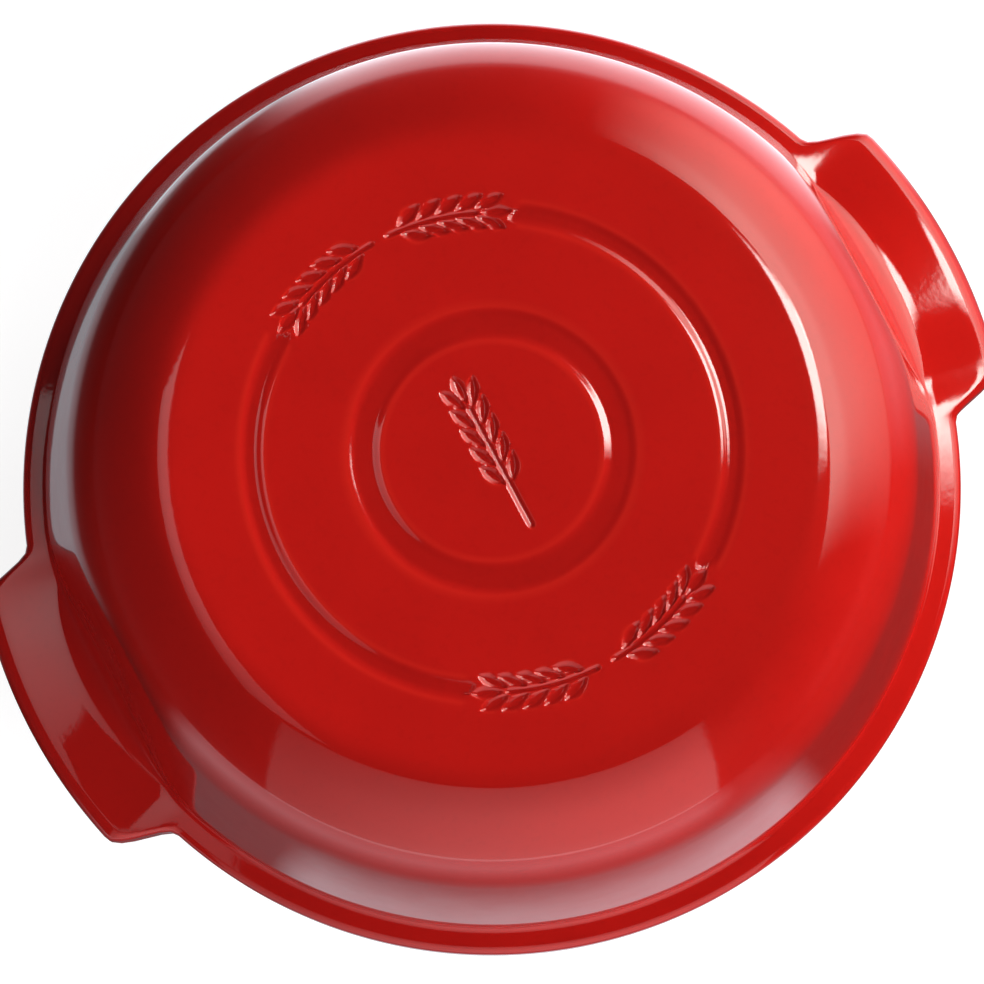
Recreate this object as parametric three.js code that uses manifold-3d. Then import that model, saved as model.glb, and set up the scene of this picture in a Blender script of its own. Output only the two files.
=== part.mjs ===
// A round ceramic bread baker: a shallow dish and a domed lid with a flat crown.
// Both rims are drawn out into a pair of lugs, and the dome is flattened above each lug for the fingers.
// Millimetres, +Z up, +X through the lugs, origin on the table under the middle of the dish.

import * as THREE from "three";
import { mergeVertices } from "three/addons/utils/BufferGeometryUtils.js";
import Module from "manifold-3d";

// Rim and lugs, which the dish and the lid share
const rimRadius = 147.5;
const flangeThickness = 8.5;
const flangeFall = 0.35;
const rimEdgeRadius = 2.5;
const seatEdgeRadius = 1.5;
const lugReach = 16.5;
const lugTipHalfWidth = 38;
const lugRootHalfWidth = 52;
const lugEdgeRadius = 4.5;
const lugRelief = 1.6;

// Dish
const dishHeight = 48;
const footInset = 31;
const footRingWidth = 13;
const footRecess = 2;
const footRecessSlope = 2.5;
const dishCornerRadius = 22;
const neckInset = 6.5;
const dishNeckFillet = 1.5;
const seatWidth = 11;
const dishFloorThickness = 8;
const dishInnerInset = 28.5;
const dishInnerCornerRadius = 16;

// Lid
const lidHeight = 91.7;
const crownRise = 1.2;
const domeTaper = 9.1;
const shoulderRadius = 32;
const rimLedge = 8.4;
const footUpright = 14;
const footBendRadius = 24;
const domeFootFillet = 1.8;
const lidWall = 8.5;
const lidFootWall = 8.6;
const lipDepth = 4;
const lipChamfer = 1;

// Finger flats on the dome
const flatPress = 4.6;
const flatDraft = THREE.MathUtils.degToRad(8.5);
const flatFillet = 11;

// Engraving on the crown
const ringRadius = 38.2;
const ringWidth = 7.6;
const ringDepth = 1.4;
const ringSlope = 1.1;
const arcRadius = 71.7;
const arcWidth = 4.9;
const arcDepth = 1.3;
const arcEdge = 0.9;
const arcHalfAngle = THREE.MathUtils.degToRad(56.5);

// Clearances
const seatGap = 0.3;
const lipClearance = 1;

// Facets
const lugStationStep = THREE.MathUtils.degToRad(1.75);
const lugStations = 26;
const plainStations = 22;
const roundSteps = 4;
const shoulderSteps = 6;
const wallSteps = 3;

const glaze = { color: 0xb51414, roughness: 0.12, metalness: 0 };

// Radii that follow from the rim
const dishNeckRadius = rimRadius - neckInset;
const dishMouthRadius = rimRadius - seatWidth;
const footRadius = dishNeckRadius - footInset;
const dishInnerFlatRadius = dishMouthRadius - dishInnerInset;
const domeFootRadius = rimRadius - rimLedge;
const crownRadius = domeFootRadius - domeTaper - shoulderRadius;
const flatDistance = domeFootRadius - flatPress;
const lipOuterRadius = dishMouthRadius - lipClearance;
const lidMouthRadius = domeFootRadius - lidFootWall;

// Heights that follow from the sizes
const seatZ = dishHeight + seatGap;
const crestZ = seatZ + flangeThickness;
const topZ = seatZ + lidHeight;
const shoulderZ = topZ - crownRise - shoulderRadius;

const wasm = await Module();
wasm.setup();

function arc(x, z, radius, from, to, steps) {
  return Array.from({ length: steps + 1 }, (_, i) => {
    const angle = from + ((to - from) * i) / steps;
    return new THREE.Vector2(x + radius * Math.cos(angle), z + radius * Math.sin(angle));
  });
}

// Angle, seen from a circle's centre, at which the tangent from a point touches the circle
function tangentAngle(x, z, radius, pointX, pointZ) {
  const distance = Math.hypot(pointX - x, pointZ - z);
  const bearing = Math.atan2(pointZ - z, pointX - x);
  return bearing + Math.sign(z - pointZ) * Math.acos(radius / distance);
}

// How far a lug stands out at an angle round the rim: 1 along its tip, easing to 0 at its roots
function lugShare(angle) {
  const offAxis = Math.asin(Math.abs(Math.sin(angle)));
  return 1 - THREE.MathUtils.smoothstep(offAxis * rimRadius, lugTipHalfWidth, lugRootHalfWidth);
}

// Radius of the edge that each flange turns away from the seam, which grows along a lug
function outerEdgeRadius(share) {
  const limit = flangeThickness - seatEdgeRadius - lugRelief - flangeFall - seatGap;
  return Math.min(THREE.MathUtils.lerp(rimEdgeRadius, lugEdgeRadius, share), limit);
}

// Radius at which a ray from the axis meets the plane of a finger flat
function flatRadius(distance, z, angle) {
  const alongX = Math.max(Math.abs(Math.cos(angle)), 0.1);
  return (distance - (z - crestZ) * Math.tan(flatDraft)) / alongX;
}

function crownZ(radius) {
  return topZ - crownRise * (radius / crownRadius) ** 2;
}

// Half section of the dish at an angle, from under its floor, round the rim and back to the axis
function dishSection(angle) {
  const share = lugShare(angle);
  const reach = lugReach * share;
  const edge = outerEdgeRadius(share);
  const undersideZ = dishHeight - flangeThickness;
  const floorZ = footRecess + dishFloorThickness;
  const recessRadius = footRadius - footRingWidth;
  const outerTouch = tangentAngle(
    footRadius, dishCornerRadius, dishCornerRadius, dishNeckRadius, undersideZ,
  );
  const innerCornerZ = floorZ + dishInnerCornerRadius;
  const mouthZ = dishHeight - seatEdgeRadius;
  const innerTouch = tangentAngle(
    dishInnerFlatRadius, innerCornerZ, dishInnerCornerRadius, dishMouthRadius, mouthZ,
  );
  const seatOuter = rimRadius - 2 * seatEdgeRadius;
  const rimTopZ = dishHeight - lugRelief * share;
  const neckX = dishNeckRadius + dishNeckFillet - dishNeckFillet * Math.tan(-outerTouch);
  return [
    new THREE.Vector2(0, footRecess),
    new THREE.Vector2(recessRadius - footRecessSlope, footRecess),
    new THREE.Vector2(recessRadius, 0),
    ...arc(footRadius, dishCornerRadius, dishCornerRadius, -Math.PI / 2, outerTouch, roundSteps),
    ...arc(neckX, undersideZ - dishNeckFillet, dishNeckFillet, Math.PI, Math.PI / 2, 2),
    ...arc(rimRadius - edge + reach, undersideZ + edge, edge, -Math.PI / 2, 0, roundSteps),
    ...arc(
      rimRadius - seatEdgeRadius + reach, rimTopZ - seatEdgeRadius, seatEdgeRadius, 0, Math.PI / 2, 2,
    ),
    new THREE.Vector2(seatOuter, dishHeight),
    ...arc(dishMouthRadius + seatEdgeRadius, mouthZ, seatEdgeRadius, Math.PI / 2, Math.PI, 2),
    ...arc(
      dishInnerFlatRadius, innerCornerZ, dishInnerCornerRadius, innerTouch, -Math.PI / 2, roundSteps,
    ),
    new THREE.Vector2(0, floorZ),
  ];
}

// Outer wall of the dome from the shoulder to the foot, pressed back to the finger flat.
// It leans in above a short upright band, which it meets in a wide bend.
function domeWall(angle, fillet) {
  const cornerZ = crestZ + footUpright;
  const touch = tangentAngle(crownRadius, shoulderZ, shoulderRadius, domeFootRadius, cornerZ);
  const shoulder = arc(crownRadius, shoulderZ, shoulderRadius, Math.PI / 2, touch, shoulderSteps);
  const bendZ = cornerZ - footBendRadius * Math.tan(touch / 2);
  const bend = arc(domeFootRadius - footBendRadius, bendZ, footBendRadius, touch, 0, 1);
  const wall = Array.from({ length: wallSteps - 1 }, (_, i) =>
    shoulder.at(-1).clone().lerp(bend[0], (i + 1) / wallSteps),
  );
  const foot = new THREE.Vector2(domeFootRadius, Math.min(crestZ + fillet, bendZ));
  return [...shoulder, ...wall, ...bend, foot].map(
    (p) => new THREE.Vector2(Math.min(p.x, flatRadius(flatDistance, p.y, angle)), p.y),
  );
}

// Inner wall of the dome from the lip to the roof, one wall thickness behind the finger flat
function domeInside(angle) {
  const innerRadius = shoulderRadius - lidWall;
  const lip = new THREE.Vector2(lidMouthRadius, seatZ - lipDepth + lipChamfer);
  const corner = new THREE.Vector2(lidMouthRadius, crestZ + footUpright);
  const touch = tangentAngle(crownRadius, shoulderZ, innerRadius, corner.x, corner.y);
  const shoulder = arc(crownRadius, shoulderZ, innerRadius, touch, Math.PI / 2, shoulderSteps);
  const wall = Array.from({ length: wallSteps }, (_, i) =>
    corner.clone().lerp(shoulder[0], i / wallSteps),
  );
  const innerDistance = flatDistance - lidWall / Math.cos(flatDraft);
  return [lip, ...wall, ...shoulder].map(
    (p) => new THREE.Vector2(Math.min(p.x, flatRadius(innerDistance, p.y, angle)), p.y),
  );
}

// Half section of the lid at an angle: crown, dome, rim and inside, turned to run the same way as the dish's
function lidSection(angle) {
  const share = lugShare(angle);
  const reach = lugReach * share;
  const edge = outerEdgeRadius(share);
  const pressed = domeFootRadius - Math.min(domeFootRadius, flatRadius(flatDistance, crestZ, angle));
  const fillet = THREE.MathUtils.mapLinear(
    pressed, 0, domeFootRadius - flatDistance, domeFootFillet, flatFillet,
  );
  const wall = domeWall(angle, fillet);
  const ringInner = ringRadius - ringWidth / 2;
  const ringOuter = ringRadius + ringWidth / 2;
  const undersideZ = seatZ + lugRelief * share;
  const lipZ = seatZ - lipDepth;
  const inside = domeInside(angle);
  return [
    new THREE.Vector2(0, topZ),
    new THREE.Vector2(ringInner, crownZ(ringInner)),
    new THREE.Vector2(ringInner + ringSlope, crownZ(ringInner) - ringDepth),
    new THREE.Vector2(ringOuter - ringSlope, crownZ(ringOuter) - ringDepth),
    new THREE.Vector2(ringOuter, crownZ(ringOuter)),
    ...wall,
    ...arc(
      wall.at(-1).x + fillet, crestZ + fillet, fillet, Math.PI, 1.5 * Math.PI, roundSteps,
    ).slice(1),
    ...arc(rimRadius - edge + reach, crestZ - flangeFall - edge, edge, Math.PI / 2, 0, roundSteps),
    ...arc(
      rimRadius - seatEdgeRadius + reach, undersideZ + seatEdgeRadius, seatEdgeRadius, 0, -Math.PI / 2, 2,
    ),
    new THREE.Vector2(rimRadius - 2 * seatEdgeRadius, seatZ),
    new THREE.Vector2(lipOuterRadius, seatZ),
    new THREE.Vector2(lipOuterRadius, lipZ + lipChamfer),
    new THREE.Vector2(lipOuterRadius - lipChamfer, lipZ),
    new THREE.Vector2(inside[0].x + lipChamfer, lipZ),
    ...inside,
    new THREE.Vector2(0, topZ - crownRise - lidWall),
  ].reverse();
}

// Angles of the sections round the axis, closer together across each lug
function stationAngles() {
  const lugSpan = lugStations * lugStationStep;
  const plainStep = (Math.PI - lugSpan) / plainStations;
  const halfTurn = [];
  for (let i = 0; i < lugStations; i += 1) halfTurn.push(-lugSpan / 2 + i * lugStationStep);
  for (let i = 0; i < plainStations; i += 1) halfTurn.push(lugSpan / 2 + i * plainStep);
  return [...halfTurn, ...halfTurn.map((angle) => angle + Math.PI)];
}

// A revolve whose half section changes with the angle
function revolve(section) {
  const angles = stationAngles();
  const geometry = new THREE.LatheGeometry(section(Math.PI / 2), angles.length);
  const position = geometry.getAttribute("position");
  let vertex = 0;
  for (const angle of [...angles, angles[0]]) {
    for (const point of section(angle)) {
      position.setXYZ(vertex, point.x * Math.cos(angle), point.x * Math.sin(angle), point.y);
      vertex += 1;
    }
  }
  return geometry;
}

function solidOf(geometry) {
  const bare = geometry.clone();
  bare.deleteAttribute("normal");
  bare.deleteAttribute("uv");
  const merged = mergeVertices(bare, 1e-4);
  const corners = merged.index.array;
  const triVerts = [];
  for (let i = 0; i < corners.length; i += 3) {
    const [a, b, c] = corners.slice(i, i + 3);
    if (a !== b && b !== c && c !== a) triVerts.push(a, b, c);
  }
  return new wasm.Manifold(
    new wasm.Mesh({
      numProp: 3,
      vertProperties: merged.getAttribute("position").array,
      triVerts: new Uint32Array(triVerts),
    }),
  );
}

function geometryOf(solid) {
  const mesh = solid.getMesh();
  const geometry = new THREE.BufferGeometry();
  geometry.setAttribute("position", new THREE.BufferAttribute(mesh.vertProperties, 3));
  geometry.setIndex(new THREE.BufferAttribute(mesh.triVerts, 1));
  geometry.computeVertexNormals();
  return geometry;
}

// A round-ended arc slot with eased lower edges, centred on an angle, to be cut into the crown
function arcCutter(centreAngle) {
  const half = arcWidth / 2 - arcEdge;
  const from = centreAngle - arcHalfAngle;
  const to = centreAngle + arcHalfAngle;
  const end = (angle) => [arcRadius * Math.cos(angle), arcRadius * Math.sin(angle)];
  const outline = new THREE.Shape();
  outline.absarc(0, 0, arcRadius + half, from, to, false);
  outline.absarc(...end(to), half, to, to + Math.PI, false);
  outline.absarc(0, 0, arcRadius - half, to, from, true);
  outline.absarc(...end(from), half, from + Math.PI, from + 2 * Math.PI, false);
  const cutter = new THREE.ExtrudeGeometry(outline, {
    depth: crownRise + arcDepth,
    curveSegments: 7,
    bevelThickness: arcEdge,
    bevelSize: arcEdge,
    bevelSegments: 2,
  });
  cutter.translate(0, 0, crownZ(arcRadius) - arcDepth + arcEdge);
  return cutter;
}

function named(name, geometry) {
  const mesh = new THREE.Mesh(geometry, new THREE.MeshStandardMaterial(glaze));
  mesh.name = name;
  return mesh;
}

const lidSolid = [0, Math.PI].reduce(
  (solid, angle) => solid.subtract(solidOf(arcCutter(angle))),
  solidOf(revolve(lidSection)),
);

const baker = new THREE.Group();
baker.add(named("dish", geometryOf(solidOf(revolve(dishSection)))));
baker.add(named("lid", geometryOf(lidSolid)));

export default baker;
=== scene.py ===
import math

import bmesh
import bpy
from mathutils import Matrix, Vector


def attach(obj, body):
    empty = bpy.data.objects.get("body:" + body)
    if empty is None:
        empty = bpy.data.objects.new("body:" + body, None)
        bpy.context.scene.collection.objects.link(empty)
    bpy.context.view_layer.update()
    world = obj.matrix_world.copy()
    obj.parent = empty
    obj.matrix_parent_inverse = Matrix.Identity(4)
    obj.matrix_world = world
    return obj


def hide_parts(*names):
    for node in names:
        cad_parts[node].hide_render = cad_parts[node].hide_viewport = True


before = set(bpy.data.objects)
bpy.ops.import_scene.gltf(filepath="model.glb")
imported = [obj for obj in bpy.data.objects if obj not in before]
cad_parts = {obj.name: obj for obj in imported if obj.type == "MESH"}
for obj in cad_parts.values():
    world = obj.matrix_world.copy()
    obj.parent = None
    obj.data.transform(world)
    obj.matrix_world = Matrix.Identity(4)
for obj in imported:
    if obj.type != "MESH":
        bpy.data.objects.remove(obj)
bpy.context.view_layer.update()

scene = bpy.context.scene
mm = 0.001


# Camera

photoCamera = {
    "turn": -28.0,  # degrees round the baker, with +X to the right at 0
    "tilt": 83.4,  # degrees above the table
    "distance": 1.5,
    "target": (0.0, -2.05 * mm, 50 * mm),  # to the right, away and up
    "lens": 174.0,
}


def aim(obj, target):
    direction = Vector(target) - obj.location
    obj.rotation_euler = direction.to_track_quat("-Z", "Y").to_euler()


def alongView(right, away, up):
    turn = math.radians(photoCamera["turn"])
    x = right * math.cos(turn) - away * math.sin(turn)
    y = right * math.sin(turn) + away * math.cos(turn)
    return Vector((x, y, up))


def makeCamera():
    tilt = math.radians(photoCamera["tilt"])
    data = bpy.data.cameras.new("photoCamera")
    camera = bpy.data.objects.new("photoCamera", data)
    scene.collection.objects.link(camera)
    target = alongView(*photoCamera["target"])
    camera.location = target + alongView(0, -math.cos(tilt), math.sin(tilt)) * photoCamera["distance"]
    aim(camera, target)
    data.lens = photoCamera["lens"]
    data.sensor_width = 36
    scene.camera = camera


makeCamera()
print("camera placed")


# Node helpers


def put(tree, kind, inputs=(), **settings):
    node = tree.nodes.new(kind)
    for name, value in settings.items():
        setattr(node, name, value)
    pairs = inputs.items() if isinstance(inputs, dict) else enumerate(inputs)
    for key, value in pairs:
        if isinstance(value, bpy.types.NodeSocket):
            tree.links.new(value, node.inputs[key])
        else:
            node.inputs[key].default_value = value
    return node


def calc(tree, operation, *values):
    return put(tree, "ShaderNodeMath", values, operation=operation).outputs[0]


def newTree(name, sizes):
    tree = bpy.data.node_groups.new(name, "GeometryNodeTree")
    tree.interface.new_socket("Geometry", in_out="INPUT", socket_type="NodeSocketGeometry")
    for size, kind in sizes.items():
        tree.interface.new_socket(size, in_out="INPUT", socket_type="NodeSocket" + kind)
    tree.interface.new_socket("Geometry", in_out="OUTPUT", socket_type="NodeSocketGeometry")
    return tree, tree.nodes.new("NodeGroupInput").outputs, tree.nodes.new("NodeGroupOutput").inputs


def applyTree(obj, tree, values):
    modifier = obj.modifiers.new(tree.name, "NODES")
    modifier.node_group = tree
    for item in tree.interface.items_tree:
        if item.in_out == "INPUT" and item.name in values:
            modifier[item.identifier] = values[item.name]
    graph = bpy.context.evaluated_depsgraph_get()
    mesh = bpy.data.meshes.new_from_object(obj.evaluated_get(graph))
    obj.modifiers.remove(modifier)
    obj.data = mesh
    mesh.name = obj.name


def smoothStep(tree, value, low, high, toLow, toHigh):
    ramp = {"Value": value, "From Min": low, "From Max": high, "To Min": toLow, "To Max": toHigh}
    return put(tree, "ShaderNodeMapRange", ramp, interpolation_type="SMOOTHSTEP").outputs[0]


# Rim and lugs, shared by the dish and the lid

rim = {
    "radius": 147.5 * mm,
    "thickness": 8.5 * mm,
    "fall": 0.3 * mm,  # outwards over a flange's top
    "edge": 2.5 * mm,
    "seatEdge": 1.5 * mm,
    "lugReach": 16.5 * mm,
    "lugTip": 38 * mm,
    "lugRoot": 52 * mm,
    "lugEdge": 4.5 * mm,
    "lugRelief": 1.6 * mm,
    "lugCamber": 450 * mm,  # radius of a lug's top along the rim
    "lugCrest": 0.8 * mm,  # its rise at the middle
    "camberFade": (22 * mm, 58 * mm),  # along the rim from a lug's middle
    "columns": 320,
    "gather": 0.4,  # columns crowd together at the lugs by this share
}

rowShares = ("lift", "out", "foot", "press", "gauge", "inset", "reach", "drop", "sag", "bare")


def row(radius, height, **shares):
    return {"radius": radius, "height": height, "gauge": radius, **shares}


def arcRows(x, z, radius, start, end, steps, **shares):
    angles = [math.radians(start + (end - start) * i / steps) for i in range(steps + 1)]
    return [row(x + radius * math.cos(a), z + radius * math.sin(a), **shares) for a in angles]


def lineRows(first, last, steps, **shares):
    spots = [i / steps for i in range(steps + 1)]
    return [row(*[p + (q - p) * t for p, q in zip(first, last)], **shares) for t in spots]


# A flange's rounded edge, which grows along the lugs: side is 1 above the seam and -1 below it
def edgeRows(height, side):
    radius, growth, steps = rim["edge"], rim["lugEdge"] - rim["edge"], 10
    rows = []
    for i in range(steps + 1):
        turn = math.pi / 2 * i / steps
        out, back = math.sin(turn) - 1, math.cos(turn) - 1
        rows.append(row(
            rim["radius"] + radius * out, height + side * radius * back,
            reach=1 + growth * out / rim["lugReach"], drop=-side * growth * back,
            sag=max(0, side) * (1 + back),
        ))
    return rows[::side]


def touchAngle(x, z, radius, pointX, pointZ):
    distance = math.hypot(pointX - x, pointZ - z)
    bearing = math.atan2(pointZ - z, pointX - x)
    return math.degrees(bearing + math.copysign(math.acos(radius / distance), z - pointZ))


def columnAngle(turn):
    return turn - rim["gather"] / 2 * math.sin(2 * turn)


def discSpot(i, j):
    if abs(i) >= abs(j):
        turn = math.pi / 4 * (j / i) + (0 if i > 0 else math.pi)
    else:
        turn = math.pi * (0.5 if j > 0 else 1.5) - math.pi / 4 * (i / j)
    return turn % (2 * math.pi)


# A turned blank: the half section swept round, with a square grid bent into a disc at either pole
def turnBlank(name, section, poleHeight):
    columns = rim["columns"]
    half = columns // 8
    bm = bmesh.new()
    layers = {share: bm.verts.layers.float.new(share) for share in rowShares}

    def vertex(turn, point):
        angle = columnAngle(turn)
        radius = point["radius"]
        vert = bm.verts.new((radius * math.cos(angle), radius * math.sin(angle), point["height"]))
        for share, layer in layers.items():
            vert[layer] = point.get(share, 0.0)
        return vert

    rings = [[vertex(2 * math.pi * j / columns, point) for j in range(columns)] for point in section]
    for inner, outer in zip(rings, rings[1:]):
        for j in range(columns):
            k = (j + 1) % columns
            bm.faces.new((inner[j], outer[j], outer[k], inner[k]))

    for ring, edge, upward in ((rings[0], section[0], True), (rings[-1], section[-1], False)):
        grid = {}
        for i in range(-half, half + 1):
            for j in range(-half, half + 1):
                steps = max(abs(i), abs(j))
                turn = discSpot(i, j) if steps else 0.0
                if steps == half:
                    grid[i, j] = ring[round(turn / (2 * math.pi) * columns) % columns]
                else:
                    radius = edge["radius"] * steps / half
                    height = poleHeight(radius) if upward else edge["height"]
                    grid[i, j] = vertex(turn, row(radius, height))
        for i in range(-half, half):
            for j in range(-half, half):
                corners = [grid[i, j], grid[i + 1, j], grid[i + 1, j + 1], grid[i, j + 1]]
                bm.faces.new(corners if upward else corners[::-1])

    mesh = bpy.data.meshes.new(name)
    bm.to_mesh(mesh)
    bm.free()
    blank = bpy.data.objects.new(name, mesh)
    scene.collection.objects.link(blank)
    return blank


# Draws the lugs out of a turned rim and presses the finger flats into a dome above them
def shapeRimTree():
    tree, size, result = newTree("shapeRim", {
        "Rim Radius": "Float", "Lug Reach": "Float", "Lug Tip": "Float", "Lug Root": "Float",
        "Lug Camber": "Float", "Lug Crest": "Float", "Dome Foot": "Float", "Flat Distance": "Float",
        "Flat Draft": "Float", "Flat Softness": "Float", "Foot Fillet": "Float", "Flat Fillet": "Float",
        "Crest": "Float", "Material": "Material",
    })

    def share(name):
        return put(tree, "GeometryNodeInputNamedAttribute", {"Name": name}, data_type="FLOAT").outputs[0]

    spot = put(tree, "GeometryNodeInputPosition").outputs[0]
    x, y, z = put(tree, "ShaderNodeSeparateXYZ", (spot,)).outputs
    squares = [calc(tree, "MULTIPLY", side, side) for side in (x, y)]
    radius = calc(tree, "MAXIMUM", calc(tree, "SQRT", calc(tree, "ADD", *squares)), 1e-6)
    alongX = calc(tree, "MAXIMUM", calc(tree, "DIVIDE", calc(tree, "ABSOLUTE", x), radius), 0.1)
    offAxis = calc(tree, "ARCSINE", calc(tree, "DIVIDE", calc(tree, "ABSOLUTE", y), radius))
    girth = calc(tree, "MULTIPLY", offAxis, size["Rim Radius"])
    lug = smoothStep(tree, girth, size["Lug Tip"], size["Lug Root"], 1.0, 0.0)

    # the foot's fillet grows where the dome is pressed
    chord = calc(tree, "DIVIDE", size["Flat Distance"], alongX)
    pressing = put(tree, "ShaderNodeMapRange", {
        "Value": chord, "From Min": size["Flat Distance"], "From Max": size["Dome Foot"],
        "To Min": 1.0, "To Max": 0.0,
    }).outputs[0]
    spread = calc(tree, "SUBTRACT", size["Flat Fillet"], size["Foot Fillet"])
    growth = calc(tree, "MULTIPLY", spread, pressing)

    raised = calc(tree, "MULTIPLY_ADD", growth, share("lift"), z)

    # a lug's top is crowned along the rim
    across = calc(tree, "MULTIPLY", size["Lug Camber"], 2.0)
    fall = calc(tree, "DIVIDE", calc(tree, "MULTIPLY", girth, girth), across)
    fade = smoothStep(tree, girth, *rim["camberFade"], 1.0, 0.0)
    camber = calc(tree, "MULTIPLY", calc(tree, "SUBTRACT", fall, size["Lug Crest"]), fade)
    lowered = calc(tree, "MULTIPLY_ADD", camber, share("sag"), share("drop"))
    height = calc(tree, "SUBTRACT", raised, calc(tree, "MULTIPLY", lug, lowered))

    footHeight = calc(tree, "ADD", calc(tree, "ADD", size["Crest"], size["Foot Fillet"]), growth)
    toFoot = calc(tree, "MULTIPLY", calc(tree, "SUBTRACT", footHeight, raised), share("foot"))
    above = calc(tree, "SUBTRACT", calc(tree, "ADD", raised, toFoot), size["Crest"])
    setBack = calc(tree, "MULTIPLY", above, calc(tree, "TANGENT", size["Flat Draft"]))
    plane = calc(tree, "SUBTRACT", calc(tree, "ADD", size["Flat Distance"], share("inset")), setBack)
    plane = calc(tree, "DIVIDE", plane, alongX)
    gauge = share("gauge")
    pressed = calc(tree, "SMOOTH_MIN", gauge, plane, size["Flat Softness"])
    shift = calc(tree, "MULTIPLY", calc(tree, "SUBTRACT", pressed, gauge), share("press"))
    drawn = calc(tree, "MULTIPLY", calc(tree, "MULTIPLY", size["Lug Reach"], lug), share("reach"))
    shift = calc(tree, "ADD", shift, calc(tree, "MULTIPLY_ADD", growth, share("out"), drawn))
    scale = calc(tree, "DIVIDE", calc(tree, "ADD", radius, shift), radius)

    moved = put(tree, "ShaderNodeCombineXYZ", (
        calc(tree, "MULTIPLY", x, scale), calc(tree, "MULTIPLY", y, scale), height,
    )).outputs[0]
    shaped = put(tree, "GeometryNodeSetPosition", {
        "Geometry": size["Geometry"], "Position": moved,
    }).outputs[0]
    smooth = put(tree, "GeometryNodeSetShadeSmooth", {"Geometry": shaped}).outputs[0]
    real = put(tree, "GeometryNodeRealizeInstances", {"Geometry": smooth}).outputs[0]
    glazed = put(tree, "GeometryNodeSetMaterial", {"Geometry": real, "Material": size["Material"]}).outputs[0]
    tree.links.new(glazed, result[0])
    return tree


# Glaze and clay, used by both pieces

glazeLook = {
    "red": (0.47, 0.0062, 0.004, 1),
    "deep": (0.30, 0.004, 0.0025, 1),
    "thin": (0.52, 0.011, 0.006, 1),
    "satin": (1.0, 0.03, 0.015, 1),
    "speck": (0.80, 0.42, 0.36, 1),
    "clay": (0.66, 0.52, 0.40, 1),
    "clayDark": (0.48, 0.35, 0.25, 1),
}


def newGroup(name, inputs, outputs):
    group = bpy.data.node_groups.new(name, "ShaderNodeTree")
    for socket, kind in inputs.items():
        group.interface.new_socket(socket, in_out="INPUT", socket_type="NodeSocket" + kind)
    for socket, kind in outputs.items():
        group.interface.new_socket(socket, in_out="OUTPUT", socket_type="NodeSocket" + kind)
    return group, group.nodes.new("NodeGroupInput").outputs, group.nodes.new("NodeGroupOutput").inputs


def mixColor(tree, factor, first, second):
    return put(tree, "ShaderNodeMix", {0: factor, 6: first, 7: second}, data_type="RGBA").outputs[2]


def mixValue(tree, factor, first, second):
    return put(tree, "ShaderNodeMix", {0: factor, 2: first, 3: second}).outputs[0]


def noise(tree, spot, scale, detail=2.0, rough=0.5):
    inputs = {"Vector": spot, "Scale": scale, "Detail": detail, "Roughness": rough}
    return put(tree, "ShaderNodeTexNoise", inputs).outputs[0]


# The slow ripple and fine peel of a fired surface, in mm
def firedRipple(tree, spot):
    ripple = calc(tree, "MULTIPLY", noise(tree, spot, 38.0, 1.0), 0.05)
    peel = calc(tree, "MULTIPLY", noise(tree, spot, 420.0, 1.0), 0.006)
    return calc(tree, "ADD", ripple, peel)


# Red gloss glaze: pooled dark in the cuts, thin on the edges, with a few pinholes
def glazeGroup():
    group, given, made = newGroup(
        "redGlaze",
        {"Red": "Color", "Deep": "Color", "Thin": "Color", "Speck": "Color",
         "Pooled": "Float", "Thinned": "Float"},
        {"Color": "Color", "Roughness": "Float", "Height": "Float"},
    )
    spot = put(group, "ShaderNodeTexCoord").outputs["Object"]
    cloud = noise(group, spot, 26.0, 3.0, 0.55)
    mottle = smoothStep(group, cloud, 0.35, 0.7, 0.0, 0.16)
    fleck = smoothStep(group, noise(group, spot, 420.0, 2.0), 0.52, 0.72, 0.0, 0.12)
    dark = calc(group, "MULTIPLY_ADD", given["Pooled"], 0.45, calc(group, "ADD", mottle, fleck))
    color = mixColor(group, dark, given["Red"], given["Deep"])
    color = mixColor(group, given["Thinned"], color, given["Thin"])

    cells = put(group, "ShaderNodeTexVoronoi", {"Vector": spot, "Scale": 55.0, "Randomness": 1.0})
    seldom = put(group, "ShaderNodeTexWhiteNoise", (cells.outputs["Position"],), noise_dimensions="3D")
    chosen = calc(group, "GREATER_THAN", seldom.outputs[0], 0.955)
    dot = smoothStep(group, cells.outputs["Distance"], 0.012, 0.03, 1.0, 0.0)
    pinhole = calc(group, "MULTIPLY", chosen, dot)
    color = mixColor(group, calc(group, "MULTIPLY", pinhole, 0.6), color, given["Speck"])
    group.links.new(color, made["Color"])

    hazy = smoothStep(group, noise(group, spot, 60.0, 3.0), 0.3, 0.75, 0.30, 0.38)
    group.links.new(calc(group, "MULTIPLY_ADD", pinhole, 0.3, hazy), made["Roughness"])

    pitted = calc(group, "MULTIPLY_ADD", pinhole, -0.05, firedRipple(group, spot))
    group.links.new(pitted, made["Height"])
    return group


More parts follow.
